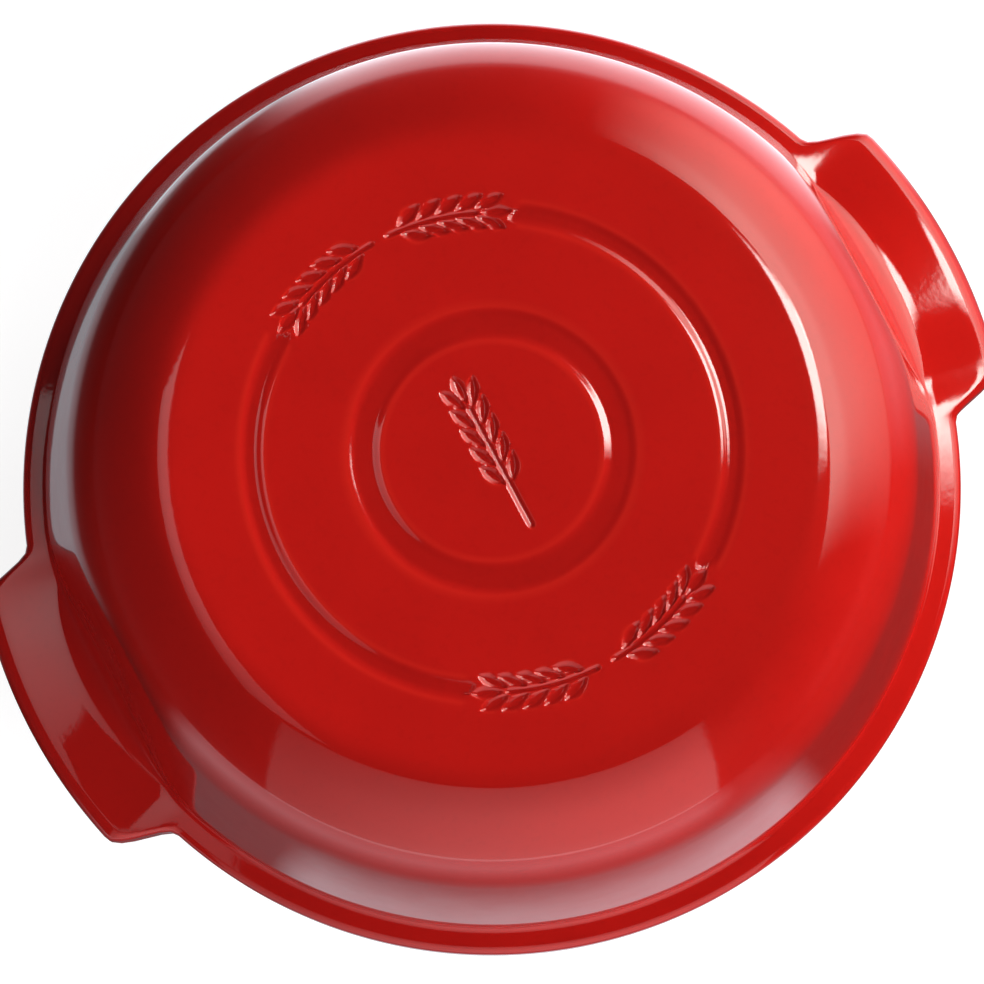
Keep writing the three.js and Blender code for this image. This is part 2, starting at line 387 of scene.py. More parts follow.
# Bare biscuit clay where a piece was wiped before firing
def clayGroup():
    group, given, made = newGroup(
        "bareClay",
        {"Clay": "Color", "Clay Dark": "Color", "Wiped": "Float"},
        {"Color": "Color", "Mask": "Float", "Height": "Float"},
    )
    spot = put(group, "ShaderNodeTexCoord").outputs["Object"]
    grit = noise(group, spot, 900.0, 3.0, 0.6)
    stain = noise(group, spot, 45.0, 3.0)
    tone = calc(group, "MULTIPLY_ADD", grit, 0.5, calc(group, "MULTIPLY", stain, 0.5))
    color = mixColor(group, smoothStep(group, tone, 0.4, 0.62, 0.0, 0.8), given["Clay"], given["Clay Dark"])
    group.links.new(color, made["Color"])
    ragged = calc(group, "MULTIPLY_ADD", noise(group, spot, 240.0, 2.0), 0.5, given["Wiped"])
    group.links.new(smoothStep(group, ragged, 0.72, 0.84, 0.0, 1.0), made["Mask"])
    group.links.new(calc(group, "MULTIPLY", grit, 0.05), made["Height"])
    return group


redGlaze = glazeGroup()
bareClay = clayGroup()


def makeGlaze(name):
    material = bpy.data.materials.new(name)
    material.use_nodes = True
    tree = material.node_tree
    shader = tree.nodes["Principled BSDF"]
    pooled = put(tree, "ShaderNodeAttribute", attribute_name="pooled").outputs["Fac"]
    thinned = put(tree, "ShaderNodeAttribute", attribute_name="thinned").outputs["Fac"]
    wiped = put(tree, "ShaderNodeAttribute", attribute_name="bare").outputs["Fac"]
    glaze = put(tree, "ShaderNodeGroup", node_tree=redGlaze)
    for socket, value in (("Red", "red"), ("Deep", "deep"), ("Thin", "thin"), ("Speck", "speck")):
        glaze.inputs[socket].default_value = glazeLook[value]
    tree.links.new(pooled, glaze.inputs["Pooled"])
    tree.links.new(thinned, glaze.inputs["Thinned"])
    clay = put(tree, "ShaderNodeGroup", node_tree=bareClay)
    clay.inputs["Clay"].default_value = glazeLook["clay"]
    clay.inputs["Clay Dark"].default_value = glazeLook["clayDark"]
    tree.links.new(wiped, clay.inputs["Wiped"])
    mask = clay.outputs["Mask"]
    color = mixColor(tree, mask, glaze.outputs["Color"], clay.outputs["Color"])
    tree.links.new(color, shader.inputs["Base Color"])
    tree.links.new(mixValue(tree, mask, glaze.outputs["Roughness"], 0.9), shader.inputs["Roughness"])
    height = mixValue(tree, mask, glaze.outputs["Height"], clay.outputs["Height"])
    bump = put(tree, "ShaderNodeBump", {"Strength": 1.0, "Distance": mm, "Height": height})
    tree.links.new(bump.outputs[0], shader.inputs["Normal"])

    # a satin colour layer under the clear gloss
    spot = put(tree, "ShaderNodeTexCoord").outputs["Object"]
    gloss = put(tree, "ShaderNodeBump", {"Strength": 1.0, "Distance": mm, "Height": firedRipple(tree, spot)})
    tree.links.new(gloss.outputs[0], shader.inputs["Coat Normal"])
    tree.links.new(calc(tree, "SUBTRACT", 1.0, mask), shader.inputs["Coat Weight"])
    shader.inputs["IOR"].default_value = 1.52
    shader.inputs["Specular IOR Level"].default_value = 0.6
    shader.inputs["Specular Tint"].default_value = glazeLook["satin"]
    shader.inputs["Coat IOR"].default_value = 1.52
    shader.inputs["Coat Roughness"].default_value = 0.04
    return material


lidGlaze = makeGlaze("lidGlaze")
dishGlaze = makeGlaze("dishGlaze")
shapeRim = shapeRimTree()


# Dish

dish = {
    "height": 48 * mm,
    "footRadius": 110 * mm,
    "footRing": 13 * mm,
    "recess": 2 * mm,
    "recessSlope": 2.5 * mm,
    "corner": 22 * mm,
    "neck": 141 * mm,
    "neckFillet": 1.5 * mm,
    "mouth": 136.5 * mm,
    "floor": 8 * mm,
    "innerFlat": 108 * mm,
    "innerCorner": 16 * mm,
    "footEase": 0.8 * mm,
    "disc": (50 * mm, 60 * mm),  # the plain grids inside and underneath
}


def dishSection():
    top = dish["height"]
    floorZ = dish["recess"] + dish["floor"]
    innerZ = floorZ + dish["innerCorner"]
    seatEdge = rim["seatEdge"]
    mouthZ = top - seatEdge
    innerTouch = touchAngle(dish["innerFlat"], innerZ, dish["innerCorner"], dish["mouth"], mouthZ)
    underZ = top - rim["thickness"]
    outerTouch = touchAngle(dish["footRadius"], dish["corner"], dish["corner"], dish["neck"], underZ)
    rows = lineRows((dish["disc"][0], floorZ), (dish["innerFlat"], floorZ), 6)[:-1]
    rows += arcRows(dish["innerFlat"], innerZ, dish["innerCorner"], -90, innerTouch, 14)
    last = rows[-1]
    rows += lineRows((last["radius"], last["height"]), (dish["mouth"], mouthZ), 8)[1:-1]
    rows += arcRows(dish["mouth"] + seatEdge, mouthZ, seatEdge, 180, 90, 5)
    seatOuter = rim["radius"] - 2 * seatEdge
    rows += lineRows((dish["mouth"] + seatEdge, top), (seatOuter, top), 4, bare=1.0)[1:]
    for i in range(1, 7):
        t = i / 7
        radius = seatOuter + seatEdge * t
        rows.append(row(radius, top, reach=t, drop=rim["lugRelief"] * t, bare=1.0 - min(1.0, 3 * t)))
    rows += arcRows(
        rim["radius"] - seatEdge, top - seatEdge, seatEdge, 90, 0, 5, reach=1.0, drop=rim["lugRelief"],
    )
    rows += edgeRows(underZ, -1)
    brim = rows[-1]
    neckX = dish["neck"] + dish["neckFillet"] * (1 - math.tan(math.radians(-outerTouch)))
    neckZ = underZ - dish["neckFillet"]
    for i in range(1, 7):
        t = 1 - i / 7
        rows.append(row(neckX + (brim["radius"] - neckX) * t, underZ, reach=brim["reach"] * t))
    rows += arcRows(neckX, neckZ, dish["neckFillet"], 90, 180, 5)
    wallTop = rows[-1]
    corner = arcRows(dish["footRadius"], dish["corner"], dish["corner"], outerTouch, -90, 16)
    rows += lineRows(
        (wallTop["radius"], wallTop["height"]), (corner[0]["radius"], corner[0]["height"]), 7,
    )[1:-1]
    rows += corner[:-1]
    ringInner = dish["footRadius"] - dish["footRing"]
    ease = dish["footEase"]
    rows += lineRows((dish["footRadius"] - 1.5 * mm, 0), (ringInner + ease, 0), 5, bare=1.0)
    rows.append(row(ringInner, 0.3 * ease, bare=1.0))
    rows.append(row(ringInner - dish["recessSlope"], dish["recess"] - 0.2 * ease, bare=0.3))
    rows.append(row(ringInner - dish["recessSlope"] - ease, dish["recess"]))
    rows.append(row(dish["disc"][1], dish["recess"]))
    return rows, floorZ


dishRows, dishFloor = dishSection()
dishPiece = turnBlank("bakingDish", dishRows, lambda radius: dishFloor)
applyTree(dishPiece, shapeRim, {
    "Rim Radius": rim["radius"], "Lug Reach": rim["lugReach"], "Lug Tip": rim["lugTip"],
    "Lug Root": rim["lugRoot"], "Lug Camber": rim["lugCamber"], "Dome Foot": 1.0, "Flat Distance": 0.9,
    "Flat Softness": 0.0, "Material": dishGlaze,
})
print("dish turned:", len(dishPiece.data.polygons), "faces")


# Lid

lid = {
    "seat": 48.3 * mm,
    "height": 91.7 * mm,
    "crownRise": 1.2 * mm,
    "crown": 95.6 * mm,
    "shoulder": 34.4 * mm,
    "domeFoot": 139.1 * mm,
    "upright": 14 * mm,  # the wall leans in above this height over the flange
    "footBend": 24 * mm,
    "footFillet": 1.8 * mm,
    "wall": 8.5 * mm,
    "mouth": 130.5 * mm,
    "lipOuter": 135.5 * mm,
    "lipDepth": 4 * mm,
    "lipEdge": 1 * mm,
    "lipEase": 0.4 * mm,
    "flatDistance": 134.5 * mm,
    "flatDraft": math.radians(8.5),
    "flatFillet": 10 * mm,
    "flatSoftness": 5 * mm,
    "disc": (33 * mm, 50 * mm),  # the plain grids on the crown and under it
    "crownPitch": (  # how far out, then how fine the rows are, both in mm
        (43.4, 0.52), (59.0, 2.6), (67.8, 1.25), (75.6, 0.5), (84.4, 1.25), (94.6, 2.1),
    ),
}
lid["crest"] = lid["seat"] + rim["thickness"]
lid["top"] = lid["seat"] + lid["height"]


def crownHeight(radius):
    return lid["top"] - lid["crownRise"] * (radius / lid["crown"]) ** 2


def crownRows():
    radii = [lid["disc"][0]]
    for stop, step in lid["crownPitch"]:
        count = round((stop * mm - radii[-1]) / (step * mm))
        width = (stop * mm - radii[-1]) / count
        radii += [radii[-1] + width * (i + 1) for i in range(count)]
    return [row(radius, crownHeight(radius)) for radius in radii]


def lidSection():
    crest, crown, shoulder, foot = lid["crest"], lid["crown"], lid["shoulder"], lid["footFillet"]
    seatEdge, relief = rim["seatEdge"], rim["lugRelief"]
    shoulderZ = lid["top"] - lid["crownRise"] - shoulder
    cornerZ, bendRadius, footX = crest + lid["upright"], lid["footBend"], lid["domeFoot"]
    touch = touchAngle(crown, shoulderZ, shoulder, footX, cornerZ)
    bendZ = cornerZ - bendRadius * math.tan(math.radians(touch / 2))
    rows = crownRows()
    crownSlope = math.degrees(math.atan(2 * lid["crownRise"] / crown))
    turned = arcRows(crown, shoulderZ, shoulder, 90 - crownSlope, touch, 26, press=1.0)
    bend = arcRows(footX - bendRadius, bendZ, bendRadius, touch, 0, 5, press=1.0)
    rows += turned
    rows += lineRows(
        (turned[-1]["radius"], turned[-1]["height"]), (bend[0]["radius"], bend[0]["height"]), 9, press=1.0,
    )[1:-1]
    rows += bend
    for i in range(1, 5):
        t = i / 4
        rows.append(row(footX, bendZ + (crest + foot - bendZ) * t, press=1.0, lift=t, sag=t))
    for i in range(1, 9):
        angle = math.pi + math.pi / 2 * i / 8
        out, up = 1 + math.cos(angle), 1 + math.sin(angle)
        rows.append(row(
            footX + foot * out, crest + foot * up,
            press=1.0, lift=up, out=out, foot=1.0, gauge=footX, sag=1.0,
        ))
    edge, ledgeSteps = edgeRows(crest - rim["fall"], 1), 7
    brim = edge[0]
    for i in range(1, ledgeSteps):
        t = i / ledgeSteps
        radius = footX + foot + (brim["radius"] - footX - foot) * t
        rows.append(row(
            radius, crest - rim["fall"] * t, press=1 - t, out=1 - t, foot=1.0, gauge=footX,
            reach=brim["reach"] * t, sag=1.0,
        ))
    rows += edge
    rows += arcRows(
        rim["radius"] - seatEdge, lid["seat"] + seatEdge, seatEdge, 0, -90, 5, reach=1.0, drop=-relief,
    )
    seatOuter = rim["radius"] - 2 * seatEdge
    for i in range(1, 7):
        t = 1 - i / 7
        radius = seatOuter + seatEdge * t
        rows.append(row(radius, lid["seat"], reach=t, drop=-relief * t, bare=1.0 - min(1.0, 3 * t)))
    rows += lineRows((seatOuter, lid["seat"]), (lid["lipOuter"] + lid["lipEase"], lid["seat"]), 4, bare=1.0)
    lipZ, lipEdge = lid["seat"] - lid["lipDepth"], lid["lipEdge"]
    rows.append(row(lid["lipOuter"], lid["seat"] - lid["lipEase"], bare=0.4))
    rows += arcRows(lid["lipOuter"] - lipEdge, lipZ + lipEdge, lipEdge, 0, -90, 4)

    inner = shoulder - lid["wall"]
    mouthZ = lipZ + lipEdge
    back = {"press": 1.0, "inset": -lid["wall"] / math.cos(lid["flatDraft"])}
    rows += arcRows(lid["mouth"] + lipEdge, mouthZ, lipEdge, -90, -180, 4, **back)
    innerTouch = touchAngle(crown, shoulderZ, inner, lid["mouth"], cornerZ)
    innerBend = bendRadius - lid["wall"]
    bendZ = cornerZ - innerBend * math.tan(math.radians(innerTouch / 2))
    bend = arcRows(lid["mouth"] - innerBend, bendZ, innerBend, 0, innerTouch, 4, **back)
    roof = arcRows(crown, shoulderZ, inner, innerTouch, 90, 12, **back)
    rows += lineRows((lid["mouth"], mouthZ), (lid["mouth"], bendZ), 4, **back)[1:-1]
    rows += bend
    rows += lineRows(
        (bend[-1]["radius"], bend[-1]["height"]), (roof[0]["radius"], roof[0]["height"]), 6, **back,
    )[1:-1]
    rows += roof
    roofZ = roof[-1]["height"]
    rows += lineRows((crown, roofZ), (lid["disc"][1], roofZ), 5)[1:]
    return rows


lidPiece = turnBlank("domeLid", lidSection(), crownHeight)
applyTree(lidPiece, shapeRim, {
    "Rim Radius": rim["radius"], "Lug Reach": rim["lugReach"], "Lug Tip": rim["lugTip"],
    "Lug Root": rim["lugRoot"], "Lug Camber": rim["lugCamber"], "Lug Crest": rim["lugCrest"],
    "Dome Foot": lid["domeFoot"], "Flat Distance": lid["flatDistance"],
    "Flat Draft": lid["flatDraft"], "Flat Softness": lid["flatSoftness"], "Foot Fillet": lid["footFillet"],
    "Flat Fillet": lid["flatFillet"], "Crest": lid["crest"], "Material": lidGlaze,
})
print("lid turned:", len(lidPiece.data.polygons), "faces")


# Engraving on the crown

engraving = {
    "ringRadius": 38.2 * mm,
    "ringHalf": 3.8 * mm,
    "arcRadius": 71.7 * mm,
    "arcHalf": 2.45 * mm,
    "arcSpan": 56.5,  # degrees to either side of the lugs' axis
    "depth": 0.5 * mm,
    "grooveDepth": 0.285 * mm,  # of the ring and the arcs
    "slope": 1.6 * mm,
    "grooveHalf": (1.6 * mm, 2.4 * mm),  # a line wider than this is a groove
    "wallShare": 0.62,  # most of a line's half width that a wall may take
    "depthShare": 0.6,  # deepest cut, by half width
    "topBand": 3 * mm,  # only the crown within this of its top is cut
    "stemHalf": 0.75 * mm,
    "earStem": (-25, 14),  # mm up the crown from its middle
    "stemShare": (0.36, 0.12),  # of the middle ear and of a spray, below the grains
    "stemSteps": 40,
    "sprayStart": 2.5,  # degrees from the cross axis
    "sprayEnd": 24.0,
    "grainLength": 8.6 * mm,
    "grainHalf": 1.55 * mm,
    "grainTilt": 27.0,
    "grainSteps": 20,
    "grainSet": (0.8 * mm, 1.35 * mm),  # along the stem and off it
    "grainPitch": 5.6 * mm,
    "step": 0.25 * mm,
    "fineMiddle": (31 * mm, 11 * mm),  # finer faces: reach and half width
    "fineSpray": (61 * mm, 82.5 * mm, 33.0),  # radii, and degrees from the cross axis
}


def polar(radius, degrees):
    angle = math.radians(degrees)
    return (radius * math.cos(angle), radius * math.sin(angle), lid["top"])


def drawLines(name, lines):
    data = bpy.data.curves.new(name, "CURVE")
    data.dimensions = "3D"
    for points, halves, closed in lines:
        spline = data.splines.new("POLY")
        spline.points.add(len(points) - 1)
        for point, spot, half in zip(spline.points, points, halves):
            point.co = (*spot, 1)
            point.radius = half
        spline.use_cyclic_u = closed
    obj = bpy.data.objects.new(name, data)
    scene.collection.objects.link(obj)
    return obj


def engravingLines():
    radius, ringSteps, arcSteps = engraving["arcRadius"], 240, 120
    ring = [polar(engraving["ringRadius"], 360 * i / ringSteps) for i in range(ringSteps)]
    lines = [(ring, [engraving["ringHalf"]] * ringSteps, True)]
    span = engraving["arcSpan"]
    for side in (0, 180):
        points = [polar(radius, side - span + 2 * span * i / arcSteps) for i in range(arcSteps + 1)]
        lines.append((points, [engraving["arcHalf"]] * len(points), False))

    steps = engraving["stemSteps"]
    middleStem, sprayStem = [round(share * steps) for share in engraving["stemShare"]]
    low, high = engraving["earStem"]
    middle = [(0, (low + (high - low) * i / steps) * mm, lid["top"]) for i in range(steps + 1)]
    paths = [(middle, middleStem)]
    first, last = engraving["sprayStart"], engraving["sprayEnd"]
    for side in (90, 270):
        for hand in (-1, 1):
            turns = [side + hand * (first + (last - first) * i / steps) for i in range(steps + 1)]
            paths.append(([polar(radius, turn) for turn in turns], sprayStem))

    ears, grainSteps = [], engraving["grainSteps"]
    for points, stem in paths:
        lines.append((points, [engraving["stemHalf"]] * len(points), False))
        ears.append((points[stem:], [1.0] * len(points[stem:]), False))
        tip, before = Vector(points[-1]), Vector(points[-2])
        along = (tip - before).normalized() * engraving["grainLength"]
        shares = [i / grainSteps for i in range(grainSteps + 1)]
        grain = [tip + along * (0.25 + share) for share in shares]
        halves = [engraving["grainHalf"] * math.sin(math.pi * (0.08 + 0.84 * share)) for share in shares]
        lines.append((grain, halves, False))
    return drawLines("crownLines", lines), drawLines("earPaths", ears)


# Sinks the crown along drawn lines, and along pairs of grains set out on the ears' stems
def engraveTree():
    tree, size, result = newTree("engraveCrown", {
        "Lines": "Object", "Ears": "Object", "Top": "Float", "Depth": "Float", "Groove Depth": "Float",
        "Slope": "Float", "Step": "Float", "Grain Length": "Float", "Grain Half Width": "Float",
        "Grain Tilt": "Float", "Grain Pitch": "Float", "Material": "Material",
    })

    def pointsAlong(curves, step):
        half = put(tree, "GeometryNodeInputRadius").outputs[0]
        kept = put(tree, "GeometryNodeStoreNamedAttribute", {
            "Geometry": curves, "Name": "halfWidth", "Value": half,
        }, data_type="FLOAT", domain="POINT").outputs[0]
        return put(tree, "GeometryNodeCurveToPoints", {"Curve": kept, "Length": step}, mode="LENGTH").outputs

    lines = put(tree, "GeometryNodeObjectInfo", {"Object": size["Lines"]}).outputs["Geometry"]
    stems = put(tree, "GeometryNodeObjectInfo", {"Object": size["Ears"]}).outputs["Geometry"]

    tip = put(tree, "ShaderNodeCombineXYZ", (size["Grain Length"],)).outputs[0]
    line = put(tree, "GeometryNodeCurvePrimitiveLine", {"End": tip}).outputs[0]
    line = put(tree, "GeometryNodeResampleCurve", {"Curve": line, "Count": 24}).outputs[0]
    along = put(tree, "GeometryNodeSplineParameter").outputs["Factor"]
    swell = calc(tree, "SINE", calc(tree, "MULTIPLY_ADD", along, 0.86 * math.pi, 0.09 * math.pi))
    grain = put(tree, "GeometryNodeSetCurveRadius", {
        "Curve": line, "Radius": calc(tree, "MULTIPLY", swell, size["Grain Half Width"]),
    }).outputs[0]
    pair = put(tree, "GeometryNodeJoinGeometry")
    ahead, aside = engraving["grainSet"]
    for hand in (-1.0, 1.0):
        tilt = calc(tree, "MULTIPLY", size["Grain Tilt"], hand)
        turned = put(tree, "ShaderNodeCombineXYZ", {2: tilt}).outputs[0]
        moved = put(tree, "GeometryNodeTransform", {
            "Geometry": grain, "Translation": (ahead, aside * hand, 0.0), "Rotation": turned,
        }).outputs[0]
        tree.links.new(moved, pair.inputs[0])

    stations = pointsAlong(stems, size["Grain Pitch"])
    facing = put(tree, "FunctionNodeAlignRotationToVector", {
        "Vector": stations["Tangent"],
    }, axis="X", pivot_axis="Z")
    grains = put(tree, "GeometryNodeInstanceOnPoints", {
        "Points": stations["Points"], "Instance": pair.outputs[0], "Rotation": facing.outputs[0],
    }).outputs[0]
    grains = put(tree, "GeometryNodeRealizeInstances", {"Geometry": grains}).outputs[0]
    strokes = put(tree, "GeometryNodeJoinGeometry")
    tree.links.new(pointsAlong(grains, size["Step"])["Points"], strokes.inputs[0])
    tree.links.new(pointsAlong(lines, size["Step"])["Points"], strokes.inputs[0])
    strokes = strokes.outputs[0]

    spot = put(tree, "GeometryNodeInputPosition").outputs[0]
    nearest = put(tree, "GeometryNodeSampleNearest", {"Geometry": strokes}, domain="POINT").outputs[0]
    centre = put(tree, "GeometryNodeSampleIndex", {
        "Geometry": strokes, "Value": spot, "Index": nearest,
    }, data_type="FLOAT_VECTOR", domain="POINT").outputs[0]
    named = put(tree, "GeometryNodeInputNamedAttribute", {"Name": "halfWidth"}, data_type="FLOAT").outputs[0]
    half = put(tree, "GeometryNodeSampleIndex", {
        "Geometry": strokes, "Value": named, "Index": nearest,
    }, data_type="FLOAT", domain="POINT").outputs[0]
    apart = put(tree, "ShaderNodeVectorMath", (spot, centre), operation="SUBTRACT").outputs[0]
    flat = put(tree, "ShaderNodeVectorMath", (apart, (1.0, 1.0, 0.0)), operation="MULTIPLY").outputs[0]
    distance = put(tree, "ShaderNodeVectorMath", (flat,), operation="LENGTH").outputs["Value"]
    outside = calc(tree, "SUBTRACT", distance, half)

    slope = calc(tree, "MINIMUM", size["Slope"], calc(tree, "MULTIPLY", half, engraving["wallShare"]))
    sunk = smoothStep(tree, outside, calc(tree, "MULTIPLY", slope, -1.0), slope, 1.0, 0.0)
    height = put(tree, "ShaderNodeSeparateXYZ", (spot,)).outputs[2]
    onTop = calc(tree, "GREATER_THAN", height, calc(tree, "SUBTRACT", size["Top"], engraving["topBand"]))
    sunk = calc(tree, "MULTIPLY", sunk, onTop)
    depth = smoothStep(tree, half, *engraving["grooveHalf"], size["Depth"], size["Groove Depth"])
    depth = calc(tree, "MINIMUM", depth, calc(tree, "MULTIPLY", half, engraving["depthShare"]))
    fall = calc(tree, "MULTIPLY", calc(tree, "MULTIPLY", depth, sunk), -1.0)
    down = put(tree, "ShaderNodeCombineXYZ", {2: fall}).outputs[0]
    cut = put(tree, "GeometryNodeSetPosition", {"Geometry": size["Geometry"], "Offset": down}).outputs[0]

    fromEdge = calc(tree, "ABSOLUTE", calc(tree, "SUBTRACT", outside, slope))
    brink = smoothStep(tree, fromEdge, 0.0, slope, 1.0, 0.0)
    for name, value in (("pooled", sunk), ("thinned", calc(tree, "MULTIPLY", brink, onTop))):
        cut = put(tree, "GeometryNodeStoreNamedAttribute", {
            "Geometry": cut, "Name": name, "Value": value,
        }, data_type="FLOAT", domain="POINT").outputs[0]
    real = put(tree, "GeometryNodeRealizeInstances", {"Geometry": cut}).outputs[0]
    glazed = put(tree, "GeometryNodeSetMaterial", {"Geometry": real, "Material": size["Material"]}).outputs[0]
    tree.links.new(glazed, result[0])
    return tree


# Finer faces where the ears are cut
def refineCrown(obj):
    bm = bmesh.new()
    bm.from_mesh(obj.data)
    top = lid["top"] - engraving["topBand"]
    reach, half = engraving["fineMiddle"]
    low, high, spread = engraving["fineSpray"]
    lean = math.tan(math.radians(spread))
    zones = (
        (1, lambda x, y: math.hypot(x, y) <= reach and abs(x) < half),
        (2, lambda x, y: low <= math.hypot(x, y) <= high and abs(x) < abs(y) * lean),
    )
    for cuts, inside in zones:
        edges = set()
        for face in bm.faces:
            spot = face.calc_center_median()
            if spot.z >= top and inside(spot.x, spot.y):
                edges.update(face.edges)
        bmesh.ops.subdivide_edges(bm, edges=list(edges), cuts=cuts, use_grid_fill=True)
    bm.to_mesh(obj.data)
    bm.free()


refineCrown(lidPiece)
crownLines, earPaths = engravingLines()
applyTree(lidPiece, engraveTree(), {
    "Lines": crownLines, "Ears": earPaths, "Top": lid["top"], "Depth": engraving["depth"],
    "Groove Depth": engraving["grooveDepth"], "Slope": engraving["slope"], "Step": engraving["step"],
    "Grain Length": engraving["grainLength"], "Grain Half Width": engraving["grainHalf"],
    "Grain Tilt": math.radians(engraving["grainTilt"]), "Grain Pitch": engraving["grainPitch"],
    "Material": lidGlaze,
})
for helper in (crownLines, earPaths):
    bpy.data.curves.remove(helper.data)
print("crown engraved:", len(lidPiece.data.polygons), "faces")

for piece, node, body, slot in (
    (dishPiece, "dish", "dish_body", "dish_glaze"),
    (lidPiece, "lid", "lid_body", "lid_glaze"),
):
    for share in rowShares:
        if share != "bare" and share in piece.data.attributes:
            piece.data.attributes.remove(piece.data.attributes[share])
    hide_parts(node)
    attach(piece, body)


# Floor and light

# Headings are degrees from the picture's right, turning away from the viewer
floorLook = {
    "size": 8.0,
    "height": -0.2 * mm,
    "paper": (0.28, 0.28, 0.28, 1),
    "glow": (0.88, 1.0),  # to the camera, near the baker and far off
    "open": (0.14, 0.32),  # where the paper turns from the one to the other
    "under": (0.148, 0.16, 0.4),  # painted reflection: the paper glows pale in the dish's glaze, out to the rim
    # colour of the painted light that the paper gives off in the glaze's reflections
    "paintedShine": (0.88, 0.92, 1.0, 1),
    "dark": (0.02, 0.02, 0.02, 1),  # painted shade: the paper's colour in the glaze, away from the painted pools of light
    "paintedPools": (  # painted pools of light, seen only in the glaze: glow within and beyond a band of radii
        {"heading": 78, "spread": (30, 46), "radius": (0.5, 1.6), "glow": (1.7, 0.3)},
        {"heading": 120, "spread": (16, 28), "radius": (0.2, 0.27), "glow": (0.8, 0.0)},
        {"heading": 165, "spread": (20, 36), "radius": (0.24, 0.31), "glow": (0.36, 0.0)},
        {"heading": 279, "spread": (33, 42), "radius": (0.178, 0.192), "glow": (0.8, 0.16)},
        {"heading": 262, "spread": (40, 50), "radius": (0.21, 0.60), "glow": (0.1, 1.15)},
        {"heading": 36, "spread": (14, 34), "radius": (0.19, 0.55), "glow": (0.2, 0.9)},
    ),
}


def makeFloor():
    mesh = bpy.data.meshes.new("paperFloor")
    half, height = floorLook["size"] / 2, floorLook["height"]
    corners = [(x * half, y * half, height) for x, y in ((-1, -1), (1, -1), (1, 1), (-1, 1))]
    mesh.from_pydata(corners, [], [(0, 1, 2, 3)])
    floor = bpy.data.objects.new("paperFloor", mesh)
    scene.collection.objects.link(floor)
    # white paper to the camera, with painted pools of light and painted shade in the glaze's reflections
    material = bpy.data.materials.new("paperWhite")
    material.use_nodes = True
    tree = material.node_tree
    shader = tree.nodes["Principled BSDF"]
    shader.inputs["Roughness"].default_value = 0.9
    shader.inputs["Specular IOR Level"].default_value = 0.1
    path = put(tree, "ShaderNodeLightPath").outputs
    spot = put(tree, "ShaderNodeTexCoord").outputs["Object"]
    reach = put(tree, "ShaderNodeVectorMath", (spot,), operation="LENGTH").outputs["Value"]
    heading = put(tree, "ShaderNodeVectorMath", (spot,), operation="NORMALIZE").outputs[0]
    # painted reflection: pale paper near the baker, seen only in the glaze
    edge, past, pale = floorLook["under"]
    paintedShine = smoothStep(tree, reach, edge, past, pale, 0.0)
    # painted pools of light on the paper, by heading and radius, seen only in reflections
    for pool in floorLook["paintedPools"]:
        turn = math.radians(pool["heading"])
        toward = alongView(math.cos(turn), math.sin(turn), 0)
        facing = put(tree, "ShaderNodeVectorMath", (heading, toward), operation="DOT_PRODUCT")
        near, far = [math.cos(math.radians(angle)) for angle in pool["spread"]]
        glow = smoothStep(tree, reach, *pool["radius"], *pool["glow"])
        lit = calc(tree, "MULTIPLY", glow, smoothStep(tree, facing.outputs["Value"], far, near, 0.0, 1.0))
        paintedShine = calc(tree, "MAXIMUM", paintedShine, lit)
    seen, mirrored = path["Is Camera Ray"], path["Is Glossy Ray"]
    # in the glaze's reflections the paper turns to painted shade
    paper = mixColor(tree, mirrored, floorLook["paper"], floorLook["dark"])
    tree.links.new(paper, shader.inputs["Base Color"])
    light = mixColor(tree, mirrored, (1, 1, 1, 1), floorLook["paintedShine"])
    tree.links.new(light, shader.inputs["Emission Color"])
    white = smoothStep(tree, reach, *floorLook["open"], *floorLook["glow"])
    # white to the camera, and painted light only in the glaze's reflections
    glow = calc(tree, "MULTIPLY_ADD", seen, white, calc(tree, "MULTIPLY", mirrored, paintedShine))
    tree.links.new(glow, shader.inputs["Emission Strength"])
    mesh.materials.append(material)


# Lamps that light the baker, and boards that only its glaze shows
lampTarget = (0, 0, 90 * mm)
lamps = {
    "keyLamp": {"spot": (0.9, 1.15, 0.36), "size": (0.9, 0.5), "glow": 22.3},
    "sideLamp": {"spot": (1.39, -0.45, 0.3), "size": (0.8, 0.4), "glow": 12.5},
    "fillLamp": {"spot": (0.56, -1.06, 1.10), "size": (1.0, 1.0), "glow": 5.7},
    "rimLamp": {"spot": (-1.4, -0.3, 0.2), "size": (0.8, 0.3), "glow": 4.0},
}
crownBeam = {"height": 3.0, "radius": 99 * mm, "soft": 5 * mm, "glow": 0.36}
sideRamp = 0.55  # how far across a board its left share lasts
boards = {  # glow by height or depth, then its share at the left and right edges
    "sideBoard": {
        "spot": (1.21, 0.85, 2.0), "target": (0, 0, 2.0), "size": (2.7, 4.0), "fade": (0.35, 0.05),
        "glow": ((0, 1.1), (0.12, 2.05), (0.26, 2.9), (0.46, 3.6), (0.58, 4.7), (1, 5.0)),
        "sides": (1, 1), "color": (1.0, 0.97, 0.88),
    },
    "keyBoard": {
        "spot": (1.04, 0.84, 4.1), "size": (0.68, 0.84), "fade": (0.15, 0.3),
        "glow": ((0, 20.0), (1, 20.0)), "sides": (1, 1), "color": (1.0, 0.98, 0.92),
    },
    "nearBoard": {
        "spot": (0.0, -1.108, 1.89), "target": (0.0, 0, 1.748), "size": (2.1, 3.78), "fade": (0.02, 0.01),
        "glow": ((0, 1.25), (0.16, 1.32), (0.33, 1.2), (0.5, 0.97), (0.7, 0.85), (1, 0.6)),
        "sides": (0.4, 0.92), "color": (1.0, 1.0, 1.0),
    },
    "stripBoard": {
        "spot": (-0.444, -0.02, 1.74), "size": (0.272, 0.68), "fade": (0.03, 0.02),
        "glow": ((0, 0.4), (0.36, 0.55), (0.66, 1.0), (0.8, 1.15), (1, 1.5)),
        "sides": (0.8, 1.1), "color": (1.0, 1.0, 1.0),
    },
}


